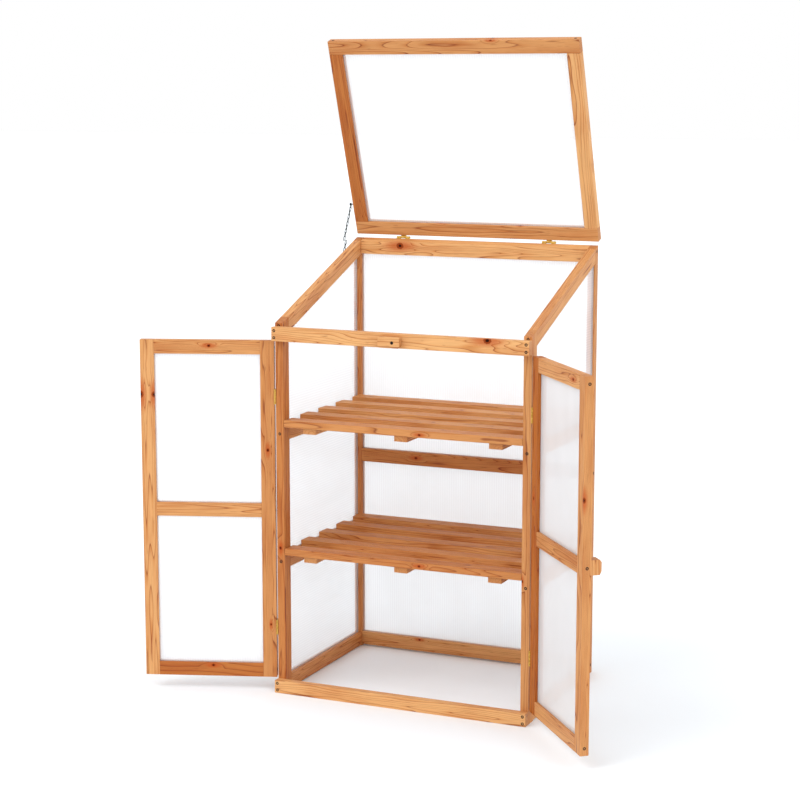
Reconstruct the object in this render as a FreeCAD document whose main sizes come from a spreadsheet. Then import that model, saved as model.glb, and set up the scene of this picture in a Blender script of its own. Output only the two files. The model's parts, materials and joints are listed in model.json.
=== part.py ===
import FreeCAD, Part
import os
import re
import Sketcher

# Cold frame: a timber cabinet with clear twin-wall panes, two shelves, two doors and a sloping lid.
# X runs across the front, Y from the front posts to the back and Z up from the ground.
# X = 0 is the middle, Y = 0 the front face of the front posts. The doors and the lid stand open.

os.makedirs("parts", exist_ok=True)
doc = FreeCAD.newDocument("cold_frame")
Vector = FreeCAD.Vector
Rotation = FreeCAD.Rotation

# Driving dimensions, in millimetres and degrees.
SIZES = {
    "frame_width": 580,         # outer width of the cabinet
    "front_height": 800,        # top of the front rail, where the roof slope begins
    "back_height": 960,         # top of the back rail, where the roof slope ends
    "back_face": 408,           # from the front posts' front face to the back face
    "stock_wide": 30,           # planed timber, wide face
    "stock_thick": 18,          # planed timber, narrow face
    "post_deep": 28,            # front posts, front to back
    "front_foot_high": 28,      # front bottom rail
    "side_foot_low": 2,         # underside of the side bottom rails
    "back_foot_low": 4,         # underside of the back bottom rail
    "back_middle_low": 442,     # underside of the back middle rail
    "back_top_trim": 0.5,       # planed off the back top rail's underside
    "upper_level": 583.5,       # underside of the upper shelf's slats
    "lower_level": 303.5,       # underside of the lower shelf's slats
    "slat_thick": 15,
    "slat_deep": 38,            # front to back
    "slat_pitch": 88,
    "slat_reach": 277,          # from the middle to a slat's end
    "slat_gap": 0.5,            # from the front slat's ends to the posts
    "batten_inset": 3,          # from the outer slats' edges to the battens' ends
    "batten_wide": 30,
    "batten_high": 12,
    "batten_pitch": 212,
    "pane_thick": 4,
    "pane_inset": 4,            # from a timber's outer face to the pane
    "pane_bite": 5,             # how far a pane enters its groove
    "groove_slack": 0.2,
    "door_gap": 1.5,            # around and between the doors
    "door_clear": 0.5,          # between a closed door and the posts
    "door_middle_high": 400,    # centre of the doors' middle rail
    "left_open": 160.2,         # degrees from closed
    "right_open": 130,          # degrees from closed
    "handle_wide": 26,
    "handle_high": 30,
    "handle_proud": 24,
    "handle_bevel": 6,
    "handle_inset": 2,          # from the free stile's edge to the handle
    "lid_long": 456,            # down the slope
    "lid_clear": 0.4,           # between the closed lid and the slope
    "lid_open": 91.2,           # degrees from closed
    "lid_pin_out": 5,           # hinge pin behind the lid's rear edge, along the slope
    "lid_pin_up": 0.8,          # hinge pin above the slope
    "lid_hinge_place": 175,     # from the middle to a lid hinge's centre
    "lid_screw_inset": 10,      # from the lid's sides to its screws
    "door_pin_out": 1.5,        # hinge pin outside the cabinet's side
    "upper_hinge_high": 648,    # centre of a door's upper hinge
    "lower_hinge_high": 142,    # centre of a door's lower hinge
    "hinge_long": 32,
    "leaf_thick": 1.2,
    "leaf_wide": 14,            # from the pin's axis to the leaf's edge
    "leaf_start": 2.8,          # from the pin's axis to the full-length part of the leaf
    "leaf_part": 0.35,          # from the hinge's middle plane to each leaf
    "tab_relief": 0.5,          # from a knuckle's tab to the timber's face
    "knuckle_round": 2.4,       # radius
    "knuckle_relief": 0.3,      # around a door's knuckles, where the timber makes room for them
    "knuckle_long": 10,         # each of the two outer knuckles
    "knuckle_gap": 0.3,
    "pin_round": 1.3,           # radius
    "pin_slack": 0.05,          # running clearance in the moving knuckle
    "screw_long": 44,
    "rail_screw_long": 38,      # in the front rails, short of the side panes' grooves
    "screw_round": 1.75,        # shank radius
    "screw_head": 3.4,          # head radius
    "screw_sink": 3,            # depth of the countersunk head
    "screw_proud": 0.2,
    "edge_inset": 6.5,          # from a rail's end to its screws
    "slope_screw_up": 1,        # from the front rail's top to the front posts' top screws
    "slope_screw_down": 22,     # from the back rail's top to the rear posts' top screws
    "foot_screw_up": 8,         # from a side bottom rail's underside to its rear screw
    "back_screw_down": 13,      # from the back rail's top to its own screws
    "button_left": 37,          # from the middle to the turn button's long end
    "button_right": 12,         # from the middle to its short end
    "button_pivot": 4.5,        # from the middle to its screw, leftwards
    "button_low": 771.5,
    "button_high": 22.5,
    "button_thick": 13,
    "button_corner": 4,         # corner radius
    "button_clear": 0.9,        # behind the button, clear of the closed doors
    "button_screw_long": 29,
    "button_head_out": 0.3,     # its screw head stands out by this more than the others
    "pivot_slack": 0.1,
    "hook_along": 68,           # from the lid's rear edge to the chain's upper screw
    "hook_up": 11,              # from the lid's underside to that screw
    "anchor_deep": 336,         # Y of the chain's lower screw
    "anchor_high": 908,         # Z of the chain's lower screw
    "wire_round": 0.7,          # chain wire radius
    "link_half": 1.8,           # from a link's middle line to its wire
    "link_slack": 0.05,
    "upper_chain_out": 9.7,     # outside the cabinet's side
    "lower_chain_out": 4.1,
    "stay_screw_round": 1,      # radius of the shank that a chain end hangs on
    "stay_head_round": 3,
    "stay_head_thick": 1.4,
    "stay_play": 0.5,           # between a stay screw's head and the link it holds
    "stay_screw_bite": 12,      # thread length in the timber
}
UPPER_LINKS = 10
LOWER_LINKS = 6
SLATS = 5
SIDES = {"left": -1, "right": 1}

sheet = doc.addObject("Spreadsheet::Sheet", "Sizes")
for row, (alias, value) in enumerate(SIZES.items(), start=1):
    sheet.set(f"A{row}", alias)
    sheet.set(f"B{row}", str(value))
    sheet.setAlias(f"B{row}", alias)
doc.recompute()

# The roof slope, as formulas: its rise, its angle and its height at a given Y.
RISE = "((back_height - front_height) / (back_face + stock_thick))"
SLOPE = f"atan({RISE})"
RAIL_DROP = f"(stock_wide * sqrt(1 + {RISE} * {RISE}))"     # a sloping rail's height, measured upright
HALF_WIDTH = "(frame_width / 2)"
REAR_FRONT = "(back_face - stock_thick)"                    # front face of the rear posts

ALONG_X = ("1", "0", "0")
UPWARDS = ("0", "0", "1")
ROUGH_SIDE = 10     # a sketch's corners start on a square of this size, before its constraints place them

PARTS = {}


def slope_at(y):
    """Height of the roof slope above the ground at a given Y."""
    return f"(front_height + ({y} + stock_thick) * {RISE})"


def sized(text):
    """A formula of size names, turned into one that reads them from the sheet."""
    def from_sheet(found):
        return "Sizes." + found[0] if found[0] in SIZES else found[0]
    return re.sub(r"[a-z_]{3,}", from_sheet, str(text))


def vector(x, y, z):
    return f"create(<<vector>>; {x}; {y}; {z})"


def placing(move, axis, angle, centre=("0", "0", "0")):
    """A placement formula: a turn about an axis through centre, then a move."""
    turn = f"create(<<rotation>>; {vector(*axis)}; {angle})"
    return sized(f"create(<<placement>>; {vector(*move)}; {turn}; {vector(*centre)})")


def bind_base(item, corner):
    for axis, text in zip("xyz", corner):
        item.setExpression(f".Placement.Base.{axis}", sized(text))


def block(name, corner, size):
    """A rectangular piece from its lowest corner and its size."""
    item = doc.addObject("Part::Box", name)
    for side, text in zip(("Length", "Width", "Height"), size):
        item.setExpression(side, sized(text))
    bind_base(item, corner)
    return item


def rod(name, foot, radius, length, turn=None):
    """A round bar that starts at foot and runs along Z, unless turned."""
    item = doc.addObject("Part::Cylinder", name)
    if turn:
        item.Placement.Rotation = turn
    item.setExpression("Radius", sized(radius))
    item.setExpression("Height", sized(length))
    bind_base(item, foot)
    return item


def joined(name, shapes):
    item = doc.addObject("Part::MultiFuse", name)
    item.Shapes = shapes
    return item


def cut(name, base, tool):
    item = doc.addObject("Part::Cut", name)
    item.Base = base
    item.Tool = tool
    return item


def group(name, items):
    item = doc.addObject("Part::Compound", name)
    item.Links = items
    return item


def copy_at(name, source, place, turn=None):
    """Another copy of a piece, turned about its own origin and moved to a place."""
    item = group(name, [source])
    if turn:
        item.Placement.Rotation = turn
    bind_base(item, place)
    return item


def keep(label, item):
    """Name a finished sub-part. It is written to parts/ at the end."""
    item.Label = label
    PARTS[label] = item
    return item


def prism(name, plane, outline, thick):
    """A body with a straight-sided outline, drawn on one of its own origin planes and padded."""
    body = doc.addObject("PartDesign::Body", name)
    sketch = body.newObject("Sketcher::SketchObject", name + "_outline")
    origin_plane = next(item for item in body.Origin.OriginFeatures if item.Role == plane)
    sketch.AttachmentSupport = [(origin_plane, "")]
    sketch.MapMode = "FlatFace"
    count = len(outline)
    rough = [Vector(ROUGH_SIDE * (corner in (1, 2)), ROUGH_SIDE * (corner > 1), 0) for corner in range(count)]
    for corner in range(count):
        sketch.addGeometry(Part.LineSegment(rough[corner], rough[(corner + 1) % count]), False)
    for corner in range(count):
        sketch.addConstraint(Sketcher.Constraint("Coincident", corner, 2, (corner + 1) % count, 1))
    for corner, pair in enumerate(outline):
        for kind, text, start in zip(("DistanceX", "DistanceY"), pair, rough[corner]):
            number = sketch.addConstraint(Sketcher.Constraint(kind, -1, 1, corner, 1, start))
            sketch.setExpression(f"Constraints[{number}]", sized(text))
    pad = body.newObject("PartDesign::Pad", name + "_pad")
    pad.Profile = sketch
    pad.setExpression("Length", sized(thick))
    return body


# ---------------------------------------------------------------- fasteners

INTO = {
    "+x": Rotation(Vector(0, 1, 0), 90),
    "-x": Rotation(Vector(0, 1, 0), -90),
    "+y": Rotation(Vector(1, 0, 0), -90),
    "-y": Rotation(Vector(1, 0, 0), 90),
}


def countersunk_screw(name, length):
    """A countersunk wood screw that points along Z, with its head's top at Z = 0."""
    head = doc.addObject("Part::Cone", name + "_cone")
    head.setExpression("Radius1", sized("screw_head"))
    head.setExpression("Radius2", sized("screw_round"))
    head.setExpression("Height", sized("screw_sink"))
    shank = rod(name + "_shank", ("0", "0", "0"), "screw_round", length)
    return joined(name, [head, shank])


WOOD_SCREW = countersunk_screw("wood_screw", "screw_long")
RAIL_SCREW = countersunk_screw("rail_screw", "rail_screw_long")


def screws(name, places, pattern=WOOD_SCREW):
    """Like screws as one group. Each place is the point on the surface and the way the screw points."""
    copies = []
    for number, (place, way) in enumerate(places, start=1):
        axis = "xyz".index(way[1])
        outward = "-" if way[0] == "+" else "+"
        head = list(place)
        head[axis] = f"{place[axis]} {outward} screw_proud"
        copies.append(copy_at(f"{name}_{number}", pattern, head, INTO[way]))
    return group(name, copies)


def hinge_half(name, outset, tab_from, knuckles, way, bore):
    """Half a butt hinge with its pin's axis on Z. The timber's face is at X = outset.

    knuckles are (start, length) along Z, each tied to the leaf by a tab that starts at X = tab_from.
    The leaf lies on the timber on the +Y or -Y side.
    """
    def side(near, far):
        return near if way > 0 else f"(-({far}))"
    half_long = "hinge_long / 2"
    leaf = block(name + "_leaf", (f"{outset} - leaf_thick", side("leaf_start", "leaf_wide"), f"-{half_long}"),
                 ("leaf_thick", "leaf_wide - leaf_start", "hinge_long"))
    pieces = [leaf]
    for number, (start, length) in enumerate(knuckles, start=1):
        pieces.append(rod(f"{name}_knuckle_{number}", ("0", "0", start), "knuckle_round", length))
        pieces.append(block(f"{name}_tab_{number}",
                            (tab_from, side("leaf_part", "leaf_start + leaf_thick"), start),
                            (f"{outset} - tab_relief - ({tab_from})",
                             "leaf_start + leaf_thick - leaf_part", length)))
    hole = rod(name + "_hole", ("0", "0", f"-{half_long}"), bore, "hinge_long")
    return cut(name, joined(name + "_solid", pieces), hole)


OUTER_KNUCKLES = [("-hinge_long / 2", "knuckle_long"), ("hinge_long / 2 - knuckle_long", "knuckle_long")]
MIDDLE_KNUCKLE = [("-hinge_long / 2 + knuckle_long + knuckle_gap",
                   "hinge_long - 2 * (knuckle_long + knuckle_gap)")]
LID_FRAME_OUT = f"(lid_pin_out * cos({SLOPE}) - lid_pin_up * sin({SLOPE}))"
MOVING_BORE = "pin_round + pin_slack"
DOOR_TAB = "door_pin_out - leaf_thick"
LID_TAB = "knuckle_round / 2"
DOOR_FRAME_HALF = hinge_half("door_frame_half", "door_pin_out", DOOR_TAB, OUTER_KNUCKLES, 1, "pin_round")
DOOR_MOVING_HALF = hinge_half("door_moving_half", "door_pin_out", DOOR_TAB, MIDDLE_KNUCKLE, -1, MOVING_BORE)
LID_FRAME_HALF = hinge_half("lid_frame_half", LID_FRAME_OUT, LID_TAB, OUTER_KNUCKLES, 1, "pin_round")
LID_MOVING_HALF = hinge_half("lid_moving_half", "lid_pin_out", LID_TAB, MIDDLE_KNUCKLE, -1, MOVING_BORE)
HINGE_PIN = rod("hinge_pin", ("0", "0", "-hinge_long / 2"), "pin_round", "hinge_long")

LEFT_WAY = Rotation()
RIGHT_WAY = Rotation(Vector(0, 1, 0), 180)
LID_WAY = Rotation(Vector(0, -1, 0), Vector(0, 0, -1), Vector(1, 0, 0))

# The doors' pins stand in the middle of the gap between the closed doors and the posts.
DOOR_PIN_Y = "(-door_clear / 2)"
DOOR_HINGES = ("upper_hinge_high", "lower_hinge_high")


def door_pin_x(side):
    sign = "-" if side == "left" else ""
    return f"({sign}({HALF_WIDTH} + door_pin_out))"


def knuckle_room(name, side):
    """What is hollowed out of a post and a closed door's stile to make room for the hinges' knuckles."""
    low = "- hinge_long / 2 - knuckle_relief"
    return group(name, [
        rod(f"{name}_{number}", (door_pin_x(side), DOOR_PIN_Y, f"{level} {low}"),
            "knuckle_round + knuckle_relief", "hinge_long + 2 * knuckle_relief")
        for number, level in enumerate(DOOR_HINGES, start=1)])


# ---------------------------------------------------------------- frame


def side_x(name, near, wide):
    """X of the low corner of something between near and near + wide from the middle, on a named side."""
    return near if name == "right" else f"(-({near} + {wide}))"


INNER_SIDE = f"({HALF_WIDTH} - stock_thick)"
PANE_NEAR = f"({HALF_WIDTH} - pane_inset - pane_thick)"
SIDE_SPAN = f"({REAR_FRONT} - post_deep)"

# What fills each side between its rails: the heights of the upright openings.
SIDE_OPENINGS = [
    ("side_foot_low + stock_wide", "lower_level - stock_wide"),
    ("lower_level", "upper_level - stock_wide"),
]
BACK_TOP_LOW = f"({slope_at(REAR_FRONT)} + back_top_trim - stock_wide)"
BACK_OPENINGS = [
    ("back_foot_low + stock_wide", "back_middle_low"),
    ("back_middle_low + stock_wide", BACK_TOP_LOW),
]


def side_panes(name, side, grow):
    """The three panes of one side, each grown all round. Ungrown they are the panes, grown their grooves."""
    near = side_x(side, f"{PANE_NEAR} - {grow}", f"pane_thick + 2 * {grow}")
    edge = f"(pane_bite + {grow})"
    front = f"post_deep - {edge}"
    rear = f"{REAR_FRONT} + {edge}"
    panes = []
    for number, (low, high) in enumerate(SIDE_OPENINGS, start=1):
        panes.append(block(f"{name}_{number}", (near, front, f"{low} - {edge}"),
                           (f"pane_thick + 2 * {grow}", f"{SIDE_SPAN} + 2 * {edge}",
                            f"({high}) - ({low}) + 2 * {edge}")))
    top = f"- {RAIL_DROP} + {edge}"
    outline = [(front, f"upper_level - {edge}"), (rear, f"upper_level - {edge}"),
               (rear, f"{slope_at(f'({rear})')} {top}"), (front, f"{slope_at(f'({front})')} {top}")]
    sloped = prism(f"{name}_sloped", "YZ_Plane", outline, f"pane_thick + 2 * {grow}")
    bind_base(sloped, (near, "0", "0"))
    return group(name, panes + [sloped])


def back_panes(name, grow):
    edge = f"(pane_bite + {grow})"
    panes = []
    for number, (low, high) in enumerate(BACK_OPENINGS, start=1):
        panes.append(block(f"{name}_{number}",
                           (f"-{INNER_SIDE} - {edge}", f"back_face - pane_inset - pane_thick - {grow}",
                            f"{low} - {edge}"),
                           (f"2 * ({INNER_SIDE} + {edge})", f"pane_thick + 2 * {grow}",
                            f"({high}) - ({low}) + 2 * {edge}")))
    return group(name, panes)


def build_frame():
    keep("back_panes", back_panes("back_glazing", "0"))
    back_grooves = back_panes("back_grooves", "groove_slack")
    for side in SIDES:
        keep(f"side_panes_{side}", side_panes(f"glazing_{side}", side, "0"))
        grooves = side_panes(f"grooves_{side}", side, "groove_slack")
        column = side_x(side, INNER_SIDE, "stock_thick")

        outline = [("0", "0"), ("post_deep", "0"), ("post_deep", slope_at("post_deep")), ("0", slope_at("0"))]
        front_post = prism(f"front_post_{side}_solid", "YZ_Plane", outline, "stock_thick")
        bind_base(front_post, (column, "0", "0"))
        grooved = cut(f"front_post_{side}_grooved", front_post, grooves)
        room = knuckle_room(f"post_knuckle_room_{side}", side)
        keep(f"front_post_{side}", cut(f"front_post_{side}", grooved, room))

        outline = [(REAR_FRONT, "0"), ("back_face", "0"), ("back_face", "back_height"),
                   (REAR_FRONT, slope_at(REAR_FRONT))]
        rear_post = prism(f"rear_post_{side}_solid", "YZ_Plane", outline, "stock_thick")
        bind_base(rear_post, (column, "0", "0"))
        side_grooved = cut(f"rear_post_{side}_grooved", rear_post, grooves)
        keep(f"rear_post_{side}", cut(f"rear_post_{side}", side_grooved, back_grooves))

        outline = [("post_deep", f"{slope_at('post_deep')} - {RAIL_DROP}"),
                   (REAR_FRONT, f"{slope_at(REAR_FRONT)} - {RAIL_DROP}"),
                   (REAR_FRONT, slope_at(REAR_FRONT)), ("post_deep", slope_at("post_deep"))]
        slope_rail = prism(f"slope_rail_{side}_solid", "YZ_Plane", outline, "stock_thick")
        bind_base(slope_rail, (column, "0", "0"))
        keep(f"slope_rail_{side}", cut(f"slope_rail_{side}", slope_rail, grooves))

        for label, low in (("side_bottom_rail", "side_foot_low"),
                           ("upper_support", "upper_level - stock_wide"),
                           ("lower_support", "lower_level - stock_wide")):
            rail = block(f"{label}_{side}_solid", (column, "post_deep", low),
                         ("stock_thick", SIDE_SPAN, "stock_wide"))
            keep(f"{label}_{side}", cut(f"{label}_{side}", rail, grooves))

    for label, low, high in (("front_bottom_rail", "0", "front_foot_high"),
                             ("front_top_rail", "front_height - stock_wide", "stock_wide")):
        keep(label, block(label, (f"-{HALF_WIDTH}", "-stock_thick", low),
                          ("frame_width", "stock_thick", high)))

    for label, low in (("back_bottom_rail", "back_foot_low"), ("back_middle_rail", "back_middle_low")):
        rail = block(f"{label}_solid", (f"-{INNER_SIDE}", REAR_FRONT, low),
                     (f"2 * {INNER_SIDE}", "stock_thick", "stock_wide"))
        keep(label, cut(label, rail, back_grooves))
    outline = [(REAR_FRONT, BACK_TOP_LOW), ("back_face", BACK_TOP_LOW), ("back_face", "back_height"),
               (REAR_FRONT, slope_at(REAR_FRONT))]
    top = prism("back_top_rail_solid", "YZ_Plane", outline, f"2 * {INNER_SIDE}")
    bind_base(top, (f"-{INNER_SIDE}", "0", "0"))
    keep("back_top_rail", cut("back_top_rail", top, back_grooves))


def build_frame_screws():
    """Two screws at each end of the front rails, and one into each rail that butts on a post."""
    rail_places = []
    places = []
    column = f"({HALF_WIDTH} - stock_thick / 2)"
    for sign in ("-", ""):
        for centre in ("front_height - stock_wide / 2", "front_foot_high / 2"):
            for offset in ("- stock_wide / 4", "+ stock_wide / 4"):
                head = (f"{sign}({HALF_WIDTH} - edge_inset)", "-stock_thick", f"{centre} {offset}")
                rail_places.append((head, "+y"))
        level_front = ("front_height + slope_screw_up", "upper_level - stock_wide / 2",
                       "lower_level - stock_wide / 2")
        for level in level_front:
            places.append(((f"{sign}{column}", "0", level), "+y"))
        level_back = ("back_height - slope_screw_down", "upper_level - stock_wide / 2",
                      "lower_level - stock_wide / 2",
                      "side_foot_low + foot_screw_up")
        for level in level_back:
            places.append(((f"{sign}{column}", "back_face", level), "-y"))
        level_side = ("back_height - back_screw_down", "back_middle_low + stock_wide / 2",
                      "back_foot_low + stock_wide / 2")
        way = "+x" if sign else "-x"
        for level in level_side:
            places.append(((f"{sign}{HALF_WIDTH}", "back_face - stock_thick / 2", level), way))
    keep("frame_screws", group("frame_screws", [screws("front_rail_screws", rail_places, RAIL_SCREW),
                                                screws("post_screws", places)]))


def build_shelf(label, level):
    """Slats across the side supports, held in line by battens below. The front slat is between the posts."""
    slats = [block(f"{label}_slat_1", (f"-{INNER_SIDE} + slat_gap", "0", level),
                   (f"2 * ({INNER_SIDE} - slat_gap)", "slat_deep", "slat_thick"))]
    for number in range(2, SLATS + 1):
        slats.append(block(f"{label}_slat_{number}", ("-slat_reach", f"{number - 1} * slat_pitch", level),
                           ("2 * slat_reach", "slat_deep", "slat_thick")))
    keep(f"{label}_slats", group(f"{label}_slats", slats))
    battens = []
    for number, place in enumerate((-1, 0, 1), start=1):
        battens.append(block(f"{label}_batten_{number}",
                             (f"{place} * batten_pitch - batten_wide / 2", "batten_inset",
                              f"{level} - batten_high"),
                             ("batten_wide", f"{SLATS - 1} * slat_pitch + slat_deep - 2 * batten_inset",
                              "batten_high")))
    keep(f"{label}_battens", group(f"{label}_battens", battens))


# ---------------------------------------------------------------- doors

DOOR_LOW = "(front_foot_high + door_gap)"
DOOR_HIGH = "(front_height - stock_wide - door_gap)"
DOOR_WIDE = f"({HALF_WIDTH} - door_gap)"
DOOR_OUTER = "(-stock_thick - door_clear)"
MIDDLE_LOW = "(door_middle_high - stock_wide / 2)"
DOOR_OPENINGS = [
    (f"({DOOR_LOW} + stock_wide)", MIDDLE_LOW),
    (f"({MIDDLE_LOW} + stock_wide)", f"({DOOR_HIGH} - stock_wide)"),
]


def door_placement(side):
    """The door's turn about its hinge pins, from closed to standing open."""
    angle = "-left_open" if side == "left" else "right_open"
    return placing(("0", "0", "0"), UPWARDS, angle, (door_pin_x(side), DOOR_PIN_Y, "0"))


def door_x(side, from_edge, wide):
    """X of the low corner of something that starts from_edge inwards of the door's hinge edge."""
    if side == "left":
        return f"(-{HALF_WIDTH} + {from_edge})"
    return f"({HALF_WIDTH} - ({from_edge}) - ({wide}))"


def door_panes(name, side, grow):
    edge = f"(pane_bite + {grow})"
    wide = f"({DOOR_WIDE} - 2 * stock_wide + 2 * {edge})"
    panes = []
    for number, (low, high) in enumerate(DOOR_OPENINGS, start=1):
        panes.append(block(f"{name}_{number}",
                           (door_x(side, f"(stock_wide - {edge})", wide),
                            f"{DOOR_OUTER} + (stock_thick - pane_thick) / 2 - {grow}", f"{low} - {edge}"),
                           (wide, f"pane_thick + 2 * {grow}", f"{high} - {low} + 2 * {edge}")))
    return group(name, panes)


def bevelled_handle(side):
    """A square block on the free stile's outer face, level with the middle rail, bevelled in front."""
    low, high = "(door_middle_high - handle_high / 2)", "(door_middle_high + handle_high / 2)"
    outline = [("0", low), ("handle_wide", low), ("handle_wide", high), ("0", high)]
    body = prism(f"handle_{side}_solid", "XZ_Plane", outline, "handle_proud")
    from_edge = f"({DOOR_WIDE} - handle_wide - handle_inset)"
    bind_base(body, (door_x(side, from_edge, "handle_wide"), DOOR_OUTER, "0"))
    doc.recompute()
    pad = body.Tip
    front = min(edge.CenterOfMass.y for edge in pad.Shape.Edges)
    rim = [f"Edge{number}" for number, edge in enumerate(pad.Shape.Edges, start=1)
           if abs(edge.CenterOfMass.y - front) < 1e-6]
    bevel = body.newObject("PartDesign::Chamfer", f"handle_{side}_bevel")
    bevel.Base = (pad, rim)
    bevel.setExpression("Size", sized("handle_bevel"))
    return body


def build_door(side):
    """One door, built closed. Every piece is then turned about the hinge pins as a whole."""
    pieces = {}
    grooves = door_panes(f"door_grooves_{side}", side, "groove_slack")
    pieces["panes"] = door_panes(f"door_glazing_{side}", side, "0")
    tall = f"({DOOR_HIGH} - {DOOR_LOW})"
    for label, start in (("hinge_stile", "0"), ("free_stile", f"({DOOR_WIDE} - stock_wide)")):
        stile = block(f"{side}_{label}_solid", (door_x(side, start, "stock_wide"), DOOR_OUTER, DOOR_LOW),
                      ("stock_wide", "stock_thick", tall))
        pieces[label] = cut(f"{side}_{label}_grooved", stile, grooves)
    room = knuckle_room(f"door_knuckle_room_{side}", side)
    pieces["hinge_stile"] = cut(f"{side}_hinge_stile_hollowed", pieces["hinge_stile"], room)
    wide = f"({DOOR_WIDE} - 2 * stock_wide)"
    for label, low in (("top_rail", f"({DOOR_HIGH} - stock_wide)"), ("middle_rail", MIDDLE_LOW),
                       ("bottom_rail", DOOR_LOW)):
        rail = block(f"{side}_{label}_solid", (door_x(side, "stock_wide", wide), DOOR_OUTER, low),
                     (wide, "stock_thick", "stock_wide"))
        pieces[label] = cut(f"{side}_{label}_grooved", rail, grooves)
    pieces["handle"] = bevelled_handle(side)

    turn = LEFT_WAY if side == "left" else RIGHT_WAY
    pieces["hinges"] = group(f"{side}_door_leaves", [
        copy_at(f"{side}_door_leaf_{number}", DOOR_MOVING_HALF, (door_pin_x(side), DOOR_PIN_Y, level), turn)
        for number, level in enumerate(DOOR_HINGES, start=1)])

    places = []
    into_hinge, into_free = ("+x", "-x") if side == "left" else ("-x", "+x")
    for centre in (f"{DOOR_HIGH} - stock_wide / 2", "door_middle_high", f"{DOOR_LOW} + stock_wide / 2"):
        middle = f"{DOOR_OUTER} + stock_thick / 2"
        places.append(((door_x(side, "0", "0"), middle, centre), into_hinge))
        places.append(((door_x(side, DOOR_WIDE, "0"), middle, centre), into_free))
    pieces["screws"] = screws(f"{side}_door_screws_closed", places)

    for label, piece in pieces.items():
        node = group(f"{side}_door_{label}", [piece])
        node.setExpression("Placement", door_placement(side))
        keep(f"{side}_door_{label}", node)


# ---------------------------------------------------------------- lid
# The lid is built flat: X across, Y up the slope with 0 at its rear edge, Z square to the slope.

PIN_Y = f"(back_face + lid_pin_out * cos({SLOPE}) - lid_pin_up * sin({SLOPE}))"
PIN_Z = f"(back_height + lid_pin_out * sin({SLOPE}) + lid_pin_up * cos({SLOPE}))"
LID_TURN = f"({SLOPE} - lid_open * 1 deg)"
LID_PLACEMENT = placing(("0", f"{PIN_Y} - lid_pin_out", f"{PIN_Z} - lid_pin_up"), ALONG_X, LID_TURN,
                        ("0", "lid_pin_out", "lid_pin_up"))


def lid_pane(name, grow):
    edge = f"(pane_bite + {grow})"
    return block(name, (f"-{HALF_WIDTH} + stock_wide - {edge}", f"-lid_long + stock_wide - {edge}",
                        f"lid_clear + (stock_thick - pane_thick) / 2 - {grow}"),
                 (f"frame_width - 2 * stock_wide + 2 * {edge}", f"lid_long - 2 * stock_wide + 2 * {edge}",
                  f"pane_thick + 2 * {grow}"))


def build_lid():
    pieces = {"pane": lid_pane("lid_glazing", "0")}
    groove = lid_pane("lid_groove", "groove_slack")
    for label, start in (("front_rail", "-lid_long"), ("hinge_rail", "-stock_wide")):
        rail = block(f"lid_{label}_solid", (f"-{HALF_WIDTH}", start, "lid_clear"),
                     ("frame_width", "stock_wide", "stock_thick"))
        pieces[label] = cut(f"lid_{label}_grooved", rail, groove)
    for side in SIDES:
        stile = block(f"lid_{side}_stile_solid",
                      (side_x(side, f"({HALF_WIDTH} - stock_wide)", "stock_wide"), "-lid_long + stock_wide",
                       "lid_clear"),
                      ("stock_wide", "lid_long - 2 * stock_wide", "stock_thick"))
        pieces[f"{side}_stile"] = cut(f"lid_{side}_stile_grooved", stile, groove)

    leaves = []
    for number, sign in enumerate(("-", ""), start=1):
        leaves.append(copy_at(f"lid_leaf_{number}", LID_MOVING_HALF,
                              (f"{sign}lid_hinge_place", "lid_pin_out", "lid_pin_up"), LID_WAY))
    pieces["hinges"] = group("lid_leaves", leaves)

    places = []
    for sign in ("-", ""):
        middle = "lid_clear + stock_thick / 2"
        places.append(((f"{sign}({HALF_WIDTH} - lid_screw_inset)", "-lid_long", middle), "+y"))
        places.append(((f"{sign}({HALF_WIDTH} - lid_screw_inset)", "0", middle), "-y"))
    pieces["screws"] = screws("lid_screws_flat", places)
    pieces["stay_screw"] = stay_screw("lid_stay_screw_flat", "upper_chain_out", "-hook_along",
                                      "lid_clear + hook_up")
    for label, piece in pieces.items():
        node = group(f"lid_{label}", [piece])
        node.setExpression("Placement", LID_PLACEMENT)
        keep(f"lid_{label}", node)


# ---------------------------------------------------------------- chain stay


def stay_screw(name, chain_out, y, z):
    """A round-head screw in the cabinet's or the lid's left side that a chain end hangs on."""
    face = f"-{HALF_WIDTH}"
    head_from = f"({chain_out} + wire_round + stay_play)"
    shank = rod(name + "_shank", (f"{face} - ({head_from})", y, z), "stay_screw_round",
                f"{head_from} + stay_screw_bite", INTO["+x"])
    head = rod(name + "_head", (f"{face} - ({head_from}) - stay_head_thick", y, z), "stay_head_round",
               "stay_head_thick", INTO["+x"])
    return joined(name, [shank, head])


HOOK_Y = (f"({PIN_Y} - (hook_along + lid_pin_out) * cos({LID_TURN})"
          f" - (lid_clear + hook_up - lid_pin_up) * sin({LID_TURN}))")
HOOK_Z = (f"({PIN_Z} - (hook_along + lid_pin_out) * sin({LID_TURN})"
          f" + (lid_clear + hook_up - lid_pin_up) * cos({LID_TURN}))")
CHAIN_LEAN = f"atan2({HOOK_Y} - anchor_deep; {HOOK_Z} - anchor_high)"
CHAIN_SPAN = (f"sqrt(({HOOK_Y} - anchor_deep) * ({HOOK_Y} - anchor_deep)"
              f" + ({HOOK_Z} - anchor_high) * ({HOOK_Z} - anchor_high))")
# Two links that pull on each other are a pitch apart: twice a link's half length, less the wire it hooks.
LINK_PITCH = (f"(({CHAIN_SPAN} - 2 * (0.5 * wire_round - stay_screw_round))"
              f" / {UPPER_LINKS + LOWER_LINKS})")
LINK_REACH = f"(({LINK_PITCH}) / 2 + wire_round + link_slack)"
FIRST_LINK = f"({LINK_REACH} - wire_round - stay_screw_round - link_slack)"


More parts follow.
